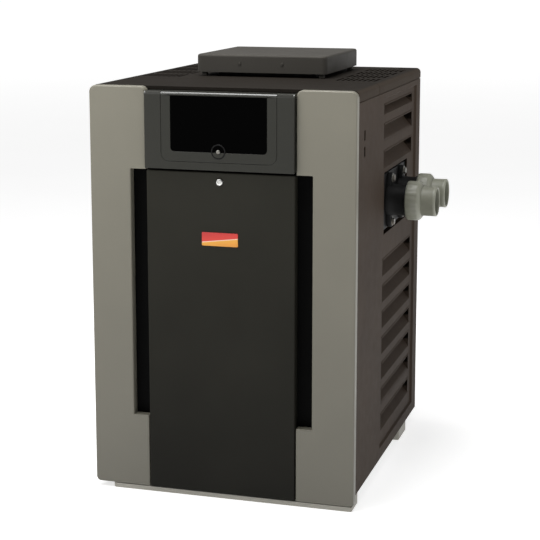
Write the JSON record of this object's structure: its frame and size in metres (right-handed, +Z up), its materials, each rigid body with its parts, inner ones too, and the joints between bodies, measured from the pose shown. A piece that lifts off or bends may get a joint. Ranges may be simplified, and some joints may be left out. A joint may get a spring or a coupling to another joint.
{
  "type": "gas pool heater",
  "caption": "Outdoor gas pool heater: louvred steel cabinet, removable front door, flip-up control cover, low flue hood, water unions on the right side and gas pipe on the left.",
  "frame": {"origin": "on the floor, under the middle of the cabinet, where the overall box's bottom face has its centre", "axes": "+Z up; the front with the door faces -Y; +X is to the right of someone facing the front, where the water unions point"},
  "size_m": [0.827, 0.7178, 0.98],
  "materials": {
    "cover_grey": "fine satin paint",
    "door_charcoal": "satin powder coat",
    "bezel_charcoal": "fine moulded texture",
    "cabinet_brown": "textured powder coat",
    "frame_black": "flat paint",
    "header_black": "glass-filled moulding",
    "smoked_window": "polished",
    "union_grey": "moulded, slightly glossy",
    "foot_grey": "satin",
    "galvanised": "spangled zinc",
    "zinc": "bright zinc plate",
    "copper": "finned copper",
    "brass": "machined",
    "ceramic": "fibre board",
    "iron": "mill scale",
    "display": "liquid crystal",
    "key": "matte",
    "board": "solder mask",
    "red": "glossy"
  },
  "bodies": {
    "cabinet": {"base_front_rail": "foot_grey", "base_pan": "galvanised", "base_rear_rail": "foot_grey", "burner_1": "galvanised", "burner_2": "galvanised", "burner_3": "galvanised", "burner_4": "galvanised", "burner_tray": "galvanised", "chamber_shell": "galvanised", "circuit_board": "board", "control_bezel": "bezel_charcoal", "cover_hinge_pin": "zinc", "display_panel": "header_black", "drain_plug": "brass", "finned_tube_1": "copper", "finned_tube_2": "copper", "finned_tube_3": "copper", "finned_tube_4": "copper", "finned_tube_5": "copper", "flue_collector": "galvanised", "flue_hood": "door_charcoal", "front_frame": "frame_black", "gas_manifold": "iron", "gas_supply_pipe": "iron", "gas_valve": "zinc", "igniter": "ceramic", "ignition_control": "bezel_charcoal", "inlet_flange": "header_black", "inlet_lower_bolt": "zinc", "inlet_union_socket": "union_grey", "inlet_upper_bolt": "zinc", "lcd_screen": "display", "left_front_cover": "cover_grey", "left_side_panel": "cabinet_brown", "outlet_flange": "header_black", "outlet_lower_bolt": "zinc", "outlet_union_socket": "union_grey", "outlet_upper_bolt": "zinc", "pressure_switch": "zinc", "rear_panel": "cabinet_brown", "refractory_lining": "ceramic", "return_header": "header_black", "right_front_cover": "cover_grey", "right_side_panel": "cabinet_brown", "top_front_panel": "cabinet_brown", "top_rear_panel": "cabinet_brown", "transformer": "iron", "water_header": "header_black"},
    "control_cover": {"control_cover": "bezel_charcoal", "cover_window": "smoked_window"},
    "cover_latch": {"cover_latch": "zinc"},
    "access_door": {"access_door": "door_charcoal", "badge_plate": "red"},
    "door_lock": {"door_lock": "zinc"},
    "key_mode": {"key_mode": "key"},
    "key_down": {"key_down": "key"},
    "key_up": {"key_up": "key"},
    "gas_valve_knob": {"gas_valve_knob": "red"},
    "inlet_union_nut": {"inlet_union_nut": "union_grey"},
    "outlet_union_nut": {"outlet_union_nut": "union_grey"}
  },
  "joints": [
    {"name": "cover_hinge", "type": "hinge", "parent": "cabinet", "child": "control_cover", "pos_m": [0, -0.3575, 0.909], "axis": [-1, 0, 0], "range_deg": [0, 110]},
    {"name": "cover_latch_turn", "type": "hinge", "parent": "control_cover", "child": "cover_latch", "pos_m": [0, -0.3625, 0.791], "axis": [0, 1, 0], "range_deg": [0, 90]},
    {"name": "door_removal", "type": "slide", "parent": "cabinet", "child": "access_door", "axis": [0, -1, 0], "range_m": [0, 0.15]},
    {"name": "door_lock_turn", "type": "hinge", "parent": "access_door", "child": "door_lock", "pos_m": [0, -0.354, 0.7237], "axis": [0, 1, 0], "range_deg": [0, 90]},
    {"name": "key_mode_press", "type": "slide", "parent": "cabinet", "child": "key_mode", "axis": [0, 1, 0], "range_m": [0, 0.0012], "stiffness_N_per_m": 700},
    {"name": "key_down_press", "type": "slide", "parent": "cabinet", "child": "key_down", "axis": [0, 1, 0], "range_m": [0, 0.0012], "stiffness_N_per_m": 700},
    {"name": "key_up_press", "type": "slide", "parent": "cabinet", "child": "key_up", "axis": [0, 1, 0], "range_m": [0, 0.0012], "stiffness_N_per_m": 700},
    {"name": "gas_valve_knob_turn", "type": "hinge", "parent": "cabinet", "child": "gas_valve_knob", "pos_m": [0.015, -0.262, 0.2835], "axis": [0, 0, 1], "range_deg": [0, 90]},
    {"name": "inlet_union_nut_turn", "type": "hinge", "parent": "cabinet", "child": "inlet_union_nut", "pos_m": [0.361, 0.148, 0.641], "axis": [1, 0, 0], "continuous": true},
    {"name": "outlet_union_nut_turn", "type": "hinge", "parent": "cabinet", "child": "outlet_union_nut", "pos_m": [0.361, 0.018, 0.641], "axis": [1, 0, 0], "continuous": true}
  ]
}
